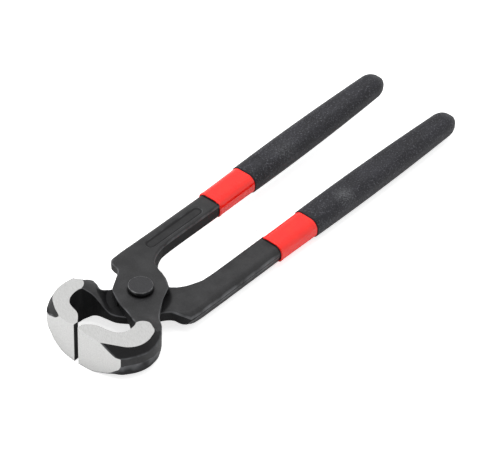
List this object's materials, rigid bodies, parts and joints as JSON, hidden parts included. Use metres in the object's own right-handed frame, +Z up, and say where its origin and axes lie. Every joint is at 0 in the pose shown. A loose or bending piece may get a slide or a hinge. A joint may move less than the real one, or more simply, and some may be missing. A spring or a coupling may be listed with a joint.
{
  "type": "end cutting nippers",
  "caption": "Forged end cutting nippers with broad ground jaws meeting edge to edge, a riveted lap joint and straight handles with a red sleeve band and a textured black grip.",
  "frame": {"origin": "under the middle of the tool's bounding box at the rest pose, at the height of its lowest point, the ends of the cutting edges", "axes": "+X from the jaws to the handle ends, +Y towards the upper lever's handle, +Z up, along the rivet and square to the joint"},
  "size_m": [0.2479, 0.0584, 0.0226],
  "materials": {
    "black_steel": "forged steel, satin black oxide, with the jaws' faces ground bright",
    "rivet_steel": "satin black oxide",
    "red_sleeve": "glossy dipped vinyl",
    "black_grip": "matt, finely textured foamed dip"
  },
  "bodies": {
    "lower_half": {"lower_lever": "black_steel", "lower_red_sleeve": "red_sleeve", "lower_black_grip": "black_grip", "pivot_rivet": "rivet_steel"},
    "upper_half": {"upper_lever": "black_steel", "upper_red_sleeve": "red_sleeve", "upper_black_grip": "black_grip"}
  },
  "joints": [
    {"name": "pivot", "type": "hinge", "parent": "lower_half", "child": "upper_half", "pos_m": [-0.08145, 0, 0.0113], "axis": [0, 0, 1], "range_deg": [-2.9, 30]}
  ]
}
